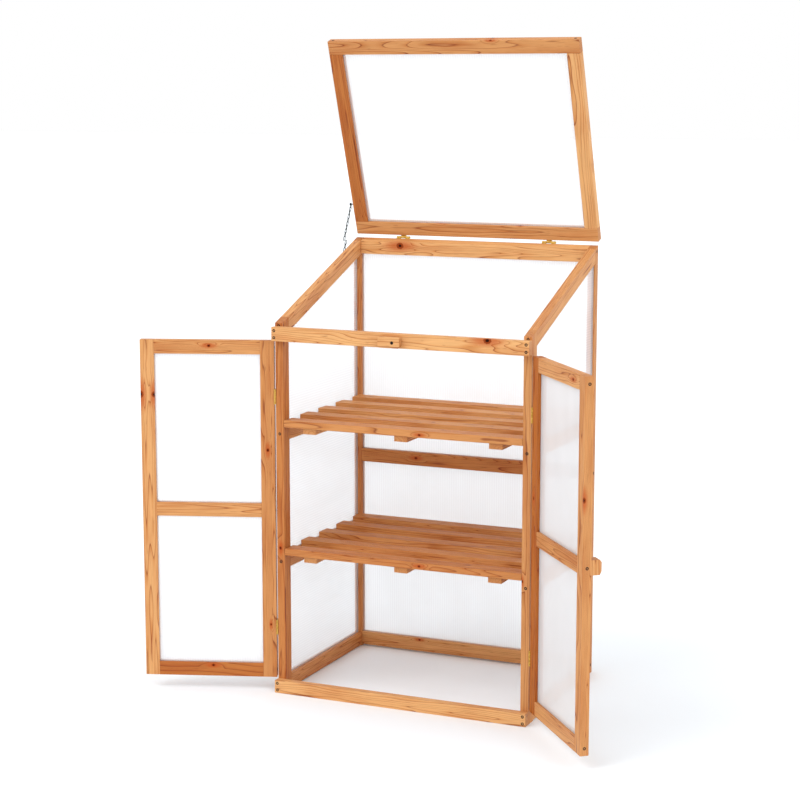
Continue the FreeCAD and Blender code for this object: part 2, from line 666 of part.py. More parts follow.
def chain_link():
    """One oval link in the YZ plane, its long way along Z: two half rings and the straights between them."""
    straight = f"({LINK_REACH} - link_half)"
    bend = doc.addObject("Part::Torus", "link_bend")
    bend.Placement.Rotation = Rotation(Vector(1, 1, 1), 120)
    bend.Angle3 = 180
    bend.setExpression("Radius1", sized("link_half"))
    bend.setExpression("Radius2", sized("wire_round"))
    bend.setExpression(".Placement.Base.z", sized(straight))
    legs = [rod(f"link_leg_{number}", ("0", f"{sign}link_half", "0"), "wire_round", straight)
            for number, sign in enumerate(("-", ""), start=1)]
    upper_half = joined("link_half_up", [bend] + legs)
    lower_half = copy_at("link_half_down", upper_half, ("0", "0", "0"), Rotation(Vector(1, 0, 0), 180))
    return joined("chain_link", [upper_half, lower_half])


def build_chain():
    """The stay in two runs, each straight from its own screw. They meet where the chain folds."""
    link = chain_link()
    across = Rotation(Vector(0, 0, 1), 90)
    for label, count, way in (("lower_chain", LOWER_LINKS, 1), ("upper_chain", UPPER_LINKS, -1)):
        links = []
        for number in range(count):
            along = f"{way} * ({FIRST_LINK} + {number} * {LINK_PITCH})"
            turn = across if number % 2 else None
            links.append(copy_at(f"{label}_{number + 1}", link, ("0", "0", along), turn))
        node = group(label, links)
        if label == "lower_chain":
            place = (f"-({HALF_WIDTH} + lower_chain_out)", "anchor_deep", "anchor_high")
        else:
            place = (f"-({HALF_WIDTH} + upper_chain_out)", HOOK_Y, HOOK_Z)
        node.setExpression("Placement", placing(place, ALONG_X, f"-({CHAIN_LEAN})"))
        keep(label, node)


# ---------------------------------------------------------------- turn button


def build_button():
    """A wooden turn button on the front top rail. Its long end swings down over both doors."""
    low, high = "button_low", "(button_low + button_high)"
    outline = [("-button_left", low), ("button_right", low), ("button_right", high), ("-button_left", high)]
    body = prism("turn_button_solid", "XZ_Plane", outline, "button_thick")
    bind_base(body, ("0", "-stock_thick - button_clear", "0"))
    doc.recompute()
    pad = body.Tip
    corners = [f"Edge{number}" for number, edge in enumerate(pad.Shape.Edges, start=1)
               if abs(edge.tangentAt(edge.FirstParameter).y) > 0.999]
    rounded = body.newObject("PartDesign::Fillet", "turn_button_corners")
    rounded.Base = (pad, corners)
    rounded.setExpression("Radius", sized("button_corner"))
    middle = "(button_low + button_high / 2)"
    front = "-stock_thick - button_clear - button_thick"
    shank_hole = rod("button_hole", ("-button_pivot", "0", middle), "screw_round + pivot_slack",
                     "2 * button_screw_long", INTO["-y"])
    sink = doc.addObject("Part::Cone", "button_sink")
    sink.Placement.Rotation = INTO["+y"]
    sink.setExpression("Radius1", sized("screw_head + pivot_slack"))
    sink.setExpression("Radius2", sized("screw_round + pivot_slack"))
    sink.setExpression("Height", sized("screw_sink"))
    bind_base(sink, ("-button_pivot", f"{front} - button_head_out", middle))
    holes = joined("button_holes", [shank_hole, sink])
    keep("turn_button", cut("turn_button", body, holes))
    pivot_screw = countersunk_screw("pivot_screw", "button_screw_long")
    head = ("-button_pivot", f"{front} - screw_proud - button_head_out", middle)
    pivot = copy_at("button_screw", pivot_screw, head, INTO["+y"])
    keep("button_screw", pivot)


# ---------------------------------------------------------------- assembly

build_frame()
build_frame_screws()
build_shelf("upper_shelf", "upper_level")
build_shelf("lower_shelf", "lower_level")
for side in SIDES:
    build_door(side)
build_lid()
build_chain()
build_button()
keep("frame_stay_screw", stay_screw("frame_stay_screw", "lower_chain_out", "anchor_deep", "anchor_high"))

door_leaves = []
pins = []
for side, sign in SIDES.items():
    turn = LEFT_WAY if sign < 0 else RIGHT_WAY
    for number, level in enumerate(DOOR_HINGES, start=1):
        place = (door_pin_x(side), DOOR_PIN_Y, level)
        door_leaves.append(copy_at(f"{side}_frame_leaf_{number}", DOOR_FRAME_HALF, place, turn))
        pins.append(copy_at(f"{side}_pin_{number}", HINGE_PIN, place, turn))
keep("door_hinges_frame", group("door_hinges_frame", door_leaves))
lid_leaves = []
for number, sign in enumerate(("-", ""), start=1):
    place = (f"{sign}lid_hinge_place", PIN_Y, PIN_Z)
    lid_leaves.append(copy_at(f"lid_frame_leaf_{number}", LID_FRAME_HALF, place, LID_WAY))
    pins.append(copy_at(f"lid_pin_{number}", HINGE_PIN, place, LID_WAY))
keep("lid_hinges_frame", group("lid_hinges_frame", lid_leaves))
keep("hinge_pins", group("hinge_pins", pins))

doc.recompute()
for item in doc.Objects:
    if "Invalid" in item.State or "Error" in item.State:
        raise RuntimeError(f"{item.Label} did not build: {item.State}")
for label, item in PARTS.items():
    if item.Shape.isNull() or not item.Shape.isValid():
        raise RuntimeError(f"{label} has no valid shape")
    item.Shape.exportStep(f"parts/{label}.step")
print(f"{len(PARTS)} sub-parts written")
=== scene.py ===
import json
import math
import random

import bmesh
import bpy
from mathutils import Matrix, Vector


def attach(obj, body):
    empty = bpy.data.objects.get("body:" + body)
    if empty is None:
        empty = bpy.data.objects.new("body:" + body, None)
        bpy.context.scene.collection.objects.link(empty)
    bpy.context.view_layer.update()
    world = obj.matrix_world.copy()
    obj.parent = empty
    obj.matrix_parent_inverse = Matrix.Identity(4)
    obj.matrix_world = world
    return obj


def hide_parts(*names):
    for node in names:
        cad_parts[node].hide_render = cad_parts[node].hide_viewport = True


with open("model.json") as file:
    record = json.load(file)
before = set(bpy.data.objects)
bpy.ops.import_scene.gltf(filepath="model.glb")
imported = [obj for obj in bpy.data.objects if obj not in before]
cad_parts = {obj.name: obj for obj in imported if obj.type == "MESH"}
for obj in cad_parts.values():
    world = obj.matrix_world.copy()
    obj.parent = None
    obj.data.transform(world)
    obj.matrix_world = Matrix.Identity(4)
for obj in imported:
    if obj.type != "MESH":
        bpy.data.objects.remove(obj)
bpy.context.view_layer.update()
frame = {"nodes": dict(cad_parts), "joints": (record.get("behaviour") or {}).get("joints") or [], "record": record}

# ---------------------------------------------------------------- sizes

WELD = 1e-5                             # points closer than this are one
FLAT_ANGLE = math.radians(1)            # faces that turn less than this are one flat face
SHARP_ANGLE = math.radians(35)          # edges that turn more than this are eased
EASED_EDGE = 0.0008                     # planed timber's softened edges
END_FACE = 0.8                          # how squarely an end face looks along the grain
ROOF_RISE, ROOF_RUN = 0.160, 0.426
ROOF_SLOPE = math.atan2(ROOF_RISE, ROOF_RUN)

PITH_NEAR, PITH_FAR = 0.022, 0.070      # how far a board's middle is from the heart of its tree
FLAT_SAWN = (50, 125)                   # degrees from a board's width to the heart: near 90 it shows arches
TREE_LENGTH = 8.0                       # boards are cut from anywhere along it
RING_FINE, RING_COARSE = 0.0045, 0.0095
KNOT_LAYERS = ("knot_a", "knot_b")
NO_KNOT = (Vector((10.0, 10.0, 10.0)), 1.0)     # a knot too far away to show
STRAY_KNOT = 0.30                       # the chance that a solid without a chosen knot gets one
STRAY_ALONG, STRAY_SIZE = (0.1, 0.9), (0.4, 0.9)

RIB_PITCH = 0.0055                      # twin-wall sheet
SLANT_REFLECTION_AND_SHADE = {"right_door_panes": 1.0, "left_door_panes": 0.3}      # painted reflection and shade that stand in for door sheets seen at a slant, the right door's nearly edge-on; the other sheets are clearer

HEAD_RADIUS, HEAD_DEPTH = 0.0034, 0.003         # countersunk screws
HEAD_FLAT = 0.9                         # the part of the head's radius inside its rounded edge
HEAD_CROWN, HEAD_EDGE = 0.00005, 0.00025        # depths where the rounded edge starts and ends
SHANK_RADIUS = 0.00175
SHANK_SHARE, TIP_SHARE = 0.85, 0.1      # of the length before the point, and of the radius at the point
RECESS_REACH, RECESS_HALF, RECESS_DEPTH = 0.0021, 0.00048, 0.0014
RECESS_TAPER = 0.45                     # the size of the recess's bottom to its top

FLOOR_REACH = 40.0                      # from the middle
SUNS = {                                # strength, turn and width, the last two in degrees
    "key": (0.9, (42, 0, -38), 35),
    "fill": (0.75, (60, 0, 55), 60),
}
CAMERA_PLACE = (1.6539, -3.7031, 1.3111)
CAMERA_TURN = (80.883, 0, 24.066)       # degrees
CAMERA_LENS, SENSOR_WIDTH = 89.28, 36   # millimetres

# ---------------------------------------------------------------- material nodes


def paint(red, green, blue):
    """A display colour, 0 to 255 a channel, as a linear colour."""
    linear = []
    for channel in (red, green, blue):
        part = channel / 255
        linear.append(part / 12.92 if part <= 0.04045 else ((part + 0.055) / 1.055) ** 2.4)
    return (*linear, 1.0)


class Nodes:
    """A material under construction. Values are sockets, which are linked, or constants."""

    def __init__(self, name):
        self.material = bpy.data.materials.new(name)
        self.material.use_nodes = True
        self.tree = self.material.node_tree
        self.tree.nodes.clear()

    def set(self, socket, value):
        if isinstance(value, bpy.types.NodeSocket):
            self.tree.links.new(value, socket)
        else:
            socket.default_value = value

    def add(self, kind, inputs=None, **settings):
        item = self.tree.nodes.new(kind)
        for name, value in settings.items():
            setattr(item, name, value)
        for name, value in (inputs or {}).items():
            self.set(item.inputs[name], value)
        return item

    def attribute(self, name, output="Vector"):
        return self.add("ShaderNodeAttribute", attribute_name=name).outputs[output]

    def maths(self, operation, *values):
        item = self.add("ShaderNodeMath", operation=operation)
        for socket, value in zip(item.inputs, values):
            self.set(socket, value)
        return item.outputs[0]

    def vector(self, operation, *values):
        item = self.add("ShaderNodeVectorMath", operation=operation)
        for socket, value in zip(item.inputs, values):
            self.set(socket, value)
        return item.outputs["Value" if operation == "LENGTH" else "Vector"]

    def pattern(self, where, often, detail, output="Fac"):
        """Noise that changes about so often in a metre, with a number for each axis."""
        place = self.vector("MULTIPLY", where, often)
        item = self.add("ShaderNodeTexNoise", {"Vector": place, "Scale": 1.0, "Detail": detail,
                                               "Roughness": 0.5})
        return item.outputs[output]

    def stretch(self, value, low, high, out_low=0.0, out_high=1.0):
        """Takes low to high onto out_low to out_high, smoothly, and holds the ends."""
        item = self.add("ShaderNodeMapRange", {"Value": value, "From Min": low, "From Max": high,
                                               "To Min": out_low, "To Max": out_high})
        item.interpolation_type = "SMOOTHSTEP"
        return item.outputs["Result"]

    def fade(self, value, full, gone):
        """1 up to full, and from there smoothly to 0 where it is gone."""
        return self.stretch(value, full, gone, 1.0, 0.0)

    def ramp(self, factor, stops):
        item = self.add("ShaderNodeValToRGB", {"Fac": factor})
        elements = item.color_ramp.elements
        while len(elements) < len(stops):
            elements.new(0.5)
        for element, (place, colour) in zip(elements, stops):
            element.position = place
            element.color = colour
        return item.outputs["Color"]

    def mix(self, factor, first, second, blend="MIX"):
        item = self.add("ShaderNodeMix", data_type="RGBA", blend_type=blend)
        self.set(item.inputs[0], factor)
        self.set(item.inputs[6], first)
        self.set(item.inputs[7], second)
        return item.outputs[2]

    def tint(self, colour, mask, amount, towards):
        """Moves a colour towards another by an amount, where a mask is 1."""
        return self.mix(self.maths("MULTIPLY", mask, amount), colour, towards)

    def bump(self, height, strength, distance):
        item = self.add("ShaderNodeBump", {"Height": height, "Strength": strength, "Distance": distance})
        return item.outputs["Normal"]

    def finish(self, inputs):
        shader = self.add("ShaderNodeBsdfPrincipled", inputs)
        output = self.add("ShaderNodeOutputMaterial")
        self.tree.links.new(shader.outputs["BSDF"], output.inputs["Surface"])
        return self.material


def grey(value):
    return (value, value, value, 1.0)


# Timber's colours.
EARLY_WOOD, MIDDLE_WOOD, LATE_WOOD = paint(228, 174, 115), paint(209, 144, 82), paint(128, 48, 14)
CLOUDED_WOOD, FLECKED_WOOD = paint(192, 114, 56), paint(128, 66, 28)
KNOT_HALO, KNOT_WOOD = paint(178, 76, 18), paint(146, 54, 14)
KNOT_RIM, KNOT_CORE = paint(70, 26, 10), paint(40, 14, 6)
END_WOOD, WORN_WOOD = paint(170, 108, 60), paint(236, 192, 140)
DARKENING = (0.57, 0.27, 0.05, 1.0)     # the darkest boards' colours are multiplied by this; on the boards that stand in shade this darkening is partly painted shade

# Timber's patterns: about how often each changes in a metre along the grain, across it and through it.
DRIFT_OFTEN, RING_OFTEN, CLOUD_OFTEN = (3.6, 9, 9), (0.6, 34, 34), (7, 44, 44)
FIBRE_OFTEN, FLECK_OFTEN, WEAR_OFTEN = (22, 900, 900), (30, 480, 480), (60, 90, 90)
RAGGED_OFTEN = (300, 340, 340)
DRIFT = (0.0, 0.042, 0.042)             # how far the rings wander

# A knot of size 1, in metres from its middle. Each fade is from full to gone.
# Distances are first scaled by LONG, which makes the knot and still more its halo long along the grain.
KNOT_LONG, HALO_LONG = (0.8, 1, 1), (0.32, 1, 1)
RAGGEDNESS = 0.0024
RING_SWELL, SWELL_REACH = 0.012, 0.018
HALO_FADE, KNOT_FADE, CORE_FADE = (0.004, 0.013), (0.0046, 0.0066), (0.0026, 0.0042)
RIM_RADIUS, RIM_FADE = 0.0052, (0.0003, 0.0012)


def heart_distance(nodes, grain):
    """How far a point is from the heart of its tree, which wanders along the board."""
    drift = nodes.vector("SUBTRACT", nodes.pattern(grain, DRIFT_OFTEN, 2.0, "Color"), (0.5, 0.5, 0.5))
    place = nodes.vector("ADD", grain, nodes.vector("MULTIPLY", drift, DRIFT))
    apart = nodes.add("ShaderNodeSeparateXYZ", {"Vector": place})
    across, through = apart.outputs["Y"], apart.outputs["Z"]
    squares = nodes.maths("ADD", nodes.maths("MULTIPLY", across, across),
                          nodes.maths("MULTIPLY", through, through))
    return nodes.maths("SQRT", squares)


def knot_masks(nodes, grain, radius):
    """The radius with its rings swollen around knots, and masks for a knot's halo, wood, rim and core."""
    ragged = nodes.maths("MULTIPLY", nodes.pattern(grain, RAGGED_OFTEN, 3.0), RAGGEDNESS)
    halos, woods, rims, cores = [], [], [], []
    for name in KNOT_LAYERS:
        knot = nodes.attribute(name)
        swell = nodes.vector("LENGTH", nodes.vector("MULTIPLY", knot, HALO_LONG))
        radius = nodes.maths("ADD", radius, nodes.stretch(swell, 0.0, SWELL_REACH, RING_SWELL, 0.0))
        halos.append(nodes.fade(nodes.maths("ADD", swell, ragged), *HALO_FADE))
        near = nodes.vector("LENGTH", nodes.vector("MULTIPLY", knot, KNOT_LONG))
        spot = nodes.maths("ADD", near, ragged)
        woods.append(nodes.fade(spot, *KNOT_FADE))
        off_rim = nodes.maths("ABSOLUTE", nodes.maths("SUBTRACT", spot, RIM_RADIUS))
        rims.append(nodes.fade(off_rim, *RIM_FADE))
        cores.append(nodes.fade(spot, *CORE_FADE))
    return radius, *(nodes.maths("MAXIMUM", *masks) for masks in (halos, woods, rims, cores))


def timber_material():
    """Oiled softwood: rings, fibres, clouds, flecks, a tone for each board that on the boards in shade is partly
    painted shade, knots, ends and worn edges.
    """
    nodes = Nodes("timber")
    grain = nodes.attribute("grain")
    radius, halo, knot_wood, rim, core = knot_masks(nodes, grain, heart_distance(nodes, grain))

    ring_width = nodes.stretch(nodes.pattern(grain, RING_OFTEN, 1.0), 0.3, 0.7, RING_FINE, RING_COARSE)
    phase = nodes.maths("FRACT", nodes.maths("DIVIDE", radius, ring_width))
    colour = nodes.ramp(phase, [(0.0, EARLY_WOOD), (0.55, EARLY_WOOD), (0.86, MIDDLE_WOOD),
                                (0.94, LATE_WOOD), (1.0, EARLY_WOOD)])
    cloud = nodes.pattern(grain, CLOUD_OFTEN, 3.0)
    colour = nodes.mix(nodes.stretch(cloud, 0.34, 0.60, 0.62, 1.0), EARLY_WOOD, colour)
    colour = nodes.mix(nodes.stretch(cloud, 0.40, 0.72, 0.0, 0.40), colour, CLOUDED_WOOD)
    fibre = nodes.pattern(grain, FIBRE_OFTEN, 3.0)
    colour = nodes.mix(0.32, colour, nodes.ramp(fibre, [(0.34, grey(0.55)), (0.60, grey(1.0))]), "MULTIPLY")
    fleck = nodes.pattern(grain, FLECK_OFTEN, 1.0)
    colour = nodes.mix(nodes.stretch(fleck, 0.68, 0.78, 0.0, 0.50), colour, FLECKED_WOOD)
    # Each board's tone darkens it; on right_door_hinge_stile, left_door_bottom_rail and front_post_left that
    # darkening is partly painted shade.
    colour = nodes.mix(nodes.attribute("tone", "Fac"), colour, DARKENING, "MULTIPLY")

    colour = nodes.tint(colour, halo, 0.75, KNOT_HALO)
    colour = nodes.tint(colour, knot_wood, 0.85, KNOT_WOOD)
    colour = nodes.tint(colour, rim, 0.35, KNOT_RIM)
    colour = nodes.mix(core, colour, KNOT_CORE)
    colour = nodes.tint(colour, nodes.attribute("end", "Fac"), 0.45, END_WOOD)
    wear = nodes.stretch(nodes.pattern(grain, WEAR_OFTEN, 2.0), 0.4, 0.65)
    worn = nodes.maths("MULTIPLY", nodes.attribute("edge", "Fac"), wear)
    colour = nodes.tint(colour, worn, 0.45, WORN_WOOD)

    rough = nodes.stretch(fibre, 0.3, 0.7, 0.62, 0.46)
    rough = nodes.maths("SUBTRACT", rough, nodes.maths("MULTIPLY", phase, 0.06))
    height = nodes.maths("ADD", nodes.maths("MULTIPLY", fibre, 0.7), nodes.maths("MULTIPLY", phase, 0.25))
    height = nodes.maths("SUBTRACT", height, nodes.maths("MULTIPLY", core, 0.6))
    shine = nodes.stretch(knot_wood, 0.0, 1.0, 0.22, 0.04)
    return nodes.finish({"Base Color": colour, "Roughness": rough, "Specular IOR Level": shine,
                         "Normal": nodes.bump(height, 0.45, 0.0004)})


def twin_wall_material():
    """Twin-wall sheet: a hazy skin with ribs under it a few millimetres apart, and painted reflection and shade
    that make the door sheets, seen at a slant, milkier and greyer.
    """
    nodes = Nodes("twin_wall")
    sheet = nodes.attribute("sheet")
    slant_reflection_and_shade = nodes.attribute("slant_reflection_and_shade", "Fac")
    apart = nodes.add("ShaderNodeSeparateXYZ", {"Vector": sheet})
    phase = nodes.maths("FRACT", nodes.maths("DIVIDE", apart.outputs["Y"], RIB_PITCH))
    off_rib = nodes.maths("ABSOLUTE", nodes.maths("SUBTRACT", phase, 0.5))
    rib = nodes.fade(off_rib, 0.04, 0.22)
    haze = nodes.pattern(sheet, (2, 7, 7), 2.0)
    alpha = nodes.maths("ADD", nodes.stretch(haze, 0.3, 0.7, 0.28, 0.36), nodes.maths("MULTIPLY", rib, 0.05))
    # Painted reflection and shade: the door sheets are made more opaque and greyer, standing in for how a sheet
    # looks when seen at a slant.
    alpha = nodes.maths("ADD", alpha, nodes.maths("MULTIPLY", slant_reflection_and_shade, 0.30))
    colour = nodes.mix(rib, paint(249, 251, 254), paint(242, 245, 249))
    colour = nodes.tint(colour, slant_reflection_and_shade, 0.8, paint(226, 224, 224))
    height = nodes.maths("COSINE", nodes.maths("MULTIPLY", phase, 2 * math.pi))
    rough = nodes.stretch(haze, 0.3, 0.7, 0.30, 0.40)
    return nodes.finish({"Base Color": colour, "Roughness": rough, "Alpha": alpha, "Specular IOR Level": 0.3,
                         "Normal": nodes.bump(height, 0.05, 0.0003)})


def metal_material(name, light, dark, coarse, rough, metallic, shine):
    """Small metal fittings: a cloudy tone, fine scratches, and a roughness that follows the clouds."""
    nodes = Nodes(name)
    where = nodes.add("ShaderNodeTexCoord").outputs["Object"]
    cloud = nodes.pattern(where, (coarse, coarse, coarse), 3.0)
    scratch = nodes.pattern(where, (420, 420, 2600), 2.0)
    colour = nodes.mix(nodes.stretch(cloud, 0.35, 0.68), dark, light)
    colour = nodes.mix(0.25, colour, nodes.ramp(scratch, [(0.3, grey(0.6)), (0.7, grey(1.0))]), "MULTIPLY")
    return nodes.finish({"Base Color": colour, "Roughness": nodes.stretch(cloud, 0.3, 0.7, *rough),
                         "Metallic": metallic, "Specular IOR Level": shine,
                         "Normal": nodes.bump(scratch, 0.2, 0.00005)})


def floor_material():
    """A pale studio floor, very slightly cool and cloudy."""
    nodes = Nodes("pale_floor")
    where = nodes.add("ShaderNodeTexCoord").outputs["Object"]
    cloud = nodes.pattern(where, (0.7, 0.7, 0.7), 2.0)
    colour = nodes.mix(cloud, paint(240, 245, 249), paint(244, 249, 253))
    return nodes.finish({"Base Color": colour, "Roughness": 0.9, "Specular IOR Level": 0.1})


MATERIALS = {
    "timber": timber_material(),
    "twin_wall": twin_wall_material(),
    "brass": metal_material("brass", paint(228, 190, 96), paint(186, 140, 58), coarse=340,
                            rough=(0.34, 0.50), metallic=0.70, shine=0.5),
    "black_screw": metal_material("black_screw", paint(58, 50, 46), paint(30, 26, 24), coarse=900,
                                  rough=(0.50, 0.66), metallic=0.25, shine=0.15),
    "chain_steel": metal_material("chain_steel", paint(42, 40, 38), paint(22, 21, 21), coarse=620,
                                  rough=(0.45, 0.60), metallic=0.2, shine=0.1),
}

# ---------------------------------------------------------------- where each body's pieces point
# A body that stands open is turned back to where it lies closed, so that its boards lie along X, Y and Z.

LEVEL_ROOF = Matrix.Rotation(-ROOF_SLOPE, 3, "X")
JOINTS = {joint["name"]: joint for joint in frame["joints"]}
NODE_BODY = {node: body for body, names in frame["record"]["behaviour"]["bodies"].items() for node in names}


def closing(joint_name):
    """The turn that closes a door or the lid, which is its joint's lowest angle."""
    joint = JOINTS[joint_name]
    return Matrix.Rotation(math.radians(joint["range_deg"][0]), 3, Vector(joint["axis"]))


SQUARED = {
    "frame": Matrix.Identity(3),
    "button": Matrix.Identity(3),
    "left_door": closing("left_door_hinge"),
    "right_door": closing("right_door_hinge"),
    "lid": LEVEL_ROOF @ closing("lid_hinge"),
}
# The squared axes along the grain or the ribs, across them and through them.
ALONG_X, ALONG_Y, ALONG_Z, DOWN_LID = (0, 1, 2), (1, 2, 0), (2, 0, 1), (1, 0, 2)


def squared_for(node):
    """The turn that lays a node along the axes."""
    if node.startswith("slope_rail"):
        return LEVEL_ROOF
    return SQUARED[NODE_BODY[node]]


def board_direction(node):
    """The order of the squared axes for a timber node."""
    if node.endswith(("_post_left", "_post_right", "_handle", "hinge_stile", "free_stile")):
        return ALONG_Z
    if node.startswith(("side_bottom", "upper_support", "lower_support", "slope_rail")):
        return ALONG_Y
    if node.endswith("_battens") or node in ("lid_left_stile", "lid_right_stile"):
        return ALONG_Y
    return ALONG_X


def rib_direction(node):
    """The order of the squared axes for a twin-wall node."""
    if node.startswith("side_panes"):
        return ALONG_Y
    if node == "lid_pane":
        return DOWN_LID
    return ALONG_Z


# ---------------------------------------------------------------- chosen knots and tones

# Knots on the front solid of a node: parts of the board's size along it, across it and through it, and then
# the knot's own size.
KNOTS = {
    "front_post_left": [(0.39, 0.45, 0.0, 0.7)],
    "front_post_right": [(0.37, 0.05, 0.0, 0.6)],
    "front_top_rail": [(0.845, 0.0, 0.90, 1.5)],
    "back_top_rail": [(0.18, 0.0, 0.58, 1.5)],
    "lid_front_rail": [(0.66, 0.0, 0.1, 0.6), (0.66, 0.0, 0.85, 0.6)],
    "lid_hinge_rail": [(0.36, 0.0, 0.45, 0.8), (0.69, 0.0, 0.3, 0.5)],
    "upper_shelf_slats": [(0.58, 0.0, 0.4, 0.6)],
    "lower_shelf_slats": [(0.58, 0.0, 0.5, 0.6)],
    "left_door_free_stile": [(0.84, 0.0, 1.0, 1.2), (0.84, 1.0, 1.0, 1.4)],
    "left_door_top_rail": [(0.48, 1.0, 0.6, 0.7)],
    "left_door_hinge_stile": [(0.68, 0.5, 1.0, 0.7), (0.16, 0.4, 1.0, 0.5)],
    "left_door_bottom_rail": [(0.48, 1.0, 0.8, 0.7)],
    "right_door_free_stile": [(0.68, 0.0, 1.0, 1.0)],
    "right_door_top_rail": [(0.15, 1.0, 0.5, 0.7)],
    "right_door_hinge_stile": [(0.61, 0.6, 1.0, 0.7)],
}
# How dark and how orange a node's boards are, from 0 to 1. Mostly each board's own tone, but
# right_door_hinge_stile's darkness is mostly painted shade for the shade it stands in, and left_door_bottom_rail
# and front_post_left are darkened partly as painted shade.
TONES_AND_PAINTED_SHADE = {
    "front_top_rail": 0.12, "front_bottom_rail": 0.06, "front_post_left": 0.68, "front_post_right": 0.42,
    "left_door_free_stile": 0.32, "left_door_hinge_stile": 0.54, "left_door_top_rail": 0.44,
    "left_door_middle_rail": 0.38, "left_door_bottom_rail": 0.92, "right_door_free_stile": 0.39,
    "right_door_hinge_stile": 0.92, "right_door_top_rail": 0.34, "right_door_middle_rail": 0.45,
    "lid_front_rail": 0.44, "lid_hinge_rail": 0.38, "lid_left_stile": 0.80, "lid_right_stile": 0.11,
    "back_top_rail": 0.12, "back_middle_rail": 0.66, "slope_rail_left": 0.38, "slope_rail_right": 0.34,
    "rear_post_left": 0.70, "turn_button": 0.20, "upper_shelf_slats": 0.52, "lower_shelf_slats": 0.66,
}
LIGHTEST, DARKEST = 0.30, 0.65          # every other node's boards
TONE_SPREAD = 0.07                      # how far each board strays from its tone

# ---------------------------------------------------------------- mesh work


def whole_mesh(node):
    """A copy of a CAD node's surface, with its triangles joined back into flat faces."""
    mesh = bmesh.new()
    mesh.from_mesh(frame["nodes"][node].data)
    bmesh.ops.remove_doubles(mesh, verts=mesh.verts, dist=WELD)
    bmesh.ops.dissolve_limit(mesh, angle_limit=FLAT_ANGLE, verts=mesh.verts, edges=mesh.edges)
    return mesh


def islands(mesh):
    """The separate solids of a mesh, as lists of points."""
    left = set(mesh.verts)
    found = []
    for start in mesh.verts:
        if start not in left:
            continue
        left.discard(start)
        group, waiting = [start], [start]
        while waiting:
            point = waiting.pop()
            for edge in point.link_edges:
                other = edge.other_vert(point)
                if other in left:
                    left.discard(other)
                    group.append(other)
                    waiting.append(other)
        found.append(group)
    return found


def new_piece(name, mesh, node, slot):
    """Turns a bmesh into a piece that stands for a CAD node and rides on its body."""
    data = bpy.data.meshes.new(name)
    mesh.to_mesh(data)
    mesh.free()
    data.materials.append(MATERIALS[slot])
    piece = bpy.data.objects.new(name, data)
    bpy.context.scene.collection.objects.link(piece)
    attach(piece, NODE_BODY[node])
    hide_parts(node)


def box_of(points):
    """The lowest and highest corners of the box around some points."""
    low = Vector([min(point[axis] for point in points) for axis in range(3)])
    high = Vector([max(point[axis] for point in points) for axis in range(3)])
    return low, high


def ordered(matrix, order, point):
    """A squared point, with its axes put in order."""
    turned = matrix @ point
    return Vector([turned[axis] for axis in order])


# ---------------------------------------------------------------- boards and sheets


def draw_heart(chance):
    """Where a board's middle lies in its tree: along it, and then from its heart."""
    away = chance.uniform(PITH_NEAR, PITH_FAR)
    around = chance.choice((-1, 1)) * math.radians(chance.uniform(*FLAT_SAWN))
    return Vector((chance.uniform(0, TREE_LENGTH), away * math.cos(around), away * math.sin(around)))


def draw_knots(chance, node, number, low, high):
    """A place and a size for each knot layer of a solid, whose ordered box is low to high."""
    parts = KNOTS.get(node, []) if number == 0 else []
    if not parts and chance.random() < STRAY_KNOT:
        parts = [(chance.uniform(*STRAY_ALONG), chance.choice((0.0, 1.0)), chance.random(),
                  chance.uniform(*STRAY_SIZE))]
    spots = [(Vector([low[axis] + part[axis] * (high[axis] - low[axis]) for axis in range(3)]), part[3])
             for part in parts]
    return spots + [NO_KNOT] * (len(KNOT_LAYERS) - len(spots))


def make_board(node):
    """A timber piece with eased edges, which carries its grain, knots, tone (partly painted shade on the boards in
    shade), end faces and worn edges.
    """
    mesh = whole_mesh(node)
    sharp = [edge for edge in mesh.edges
             if edge.is_manifold and edge.is_convex and edge.calc_face_angle(0) > SHARP_ANGLE]
    eased = bmesh.ops.bevel(mesh, geom=sharp, offset=EASED_EDGE, segments=2, profile=0.5, affect="EDGES",
                            clamp_overlap=True)["faces"]
    grain = mesh.verts.layers.float_vector.new("grain")
    knots = [mesh.verts.layers.float_vector.new(name) for name in KNOT_LAYERS]
    tone = mesh.verts.layers.float.new("tone")
    end = mesh.faces.layers.float.new("end")
    worn = mesh.faces.layers.float.new("edge")
    matrix, order = squared_for(node), board_direction(node)
    mesh.normal_update()
    # Solids whose fronts are level to a tenth of a millimetre keep the mesh's own order.
    fronts_first = sorted(islands(mesh), key=lambda group: round(min(point.co.y for point in group), 4))
    for number, group in enumerate(fronts_first):
        chance = random.Random(f"{node} {number}")
        drawn_tone = chance.uniform(LIGHTEST, DARKEST)
        # A board's tone, with painted shade added for the boards that stand in shade.
        board_tone_and_shade = TONES_AND_PAINTED_SHADE.get(node, drawn_tone) + chance.uniform(-TONE_SPREAD, TONE_SPREAD)
        heart = draw_heart(chance)
        places = {point: ordered(matrix, order, point.co) for point in group}
        low, high = box_of(places.values())
        middle = (low + high) / 2
        spots = draw_knots(chance, node, number, low, high)
        for point, place in places.items():
            point[grain] = place - middle + heart
            point[tone] = board_tone_and_shade
            for layer, (spot, size) in zip(knots, spots):
                point[layer] = (place - spot) / size
    for face in mesh.faces:
        face[end] = float(abs(ordered(matrix, order, face.normal)[0]) > END_FACE)
    for face in eased:
        if face.is_valid:
            face[worn] = 1.0
    new_piece(node + "_board", mesh, node, "timber")


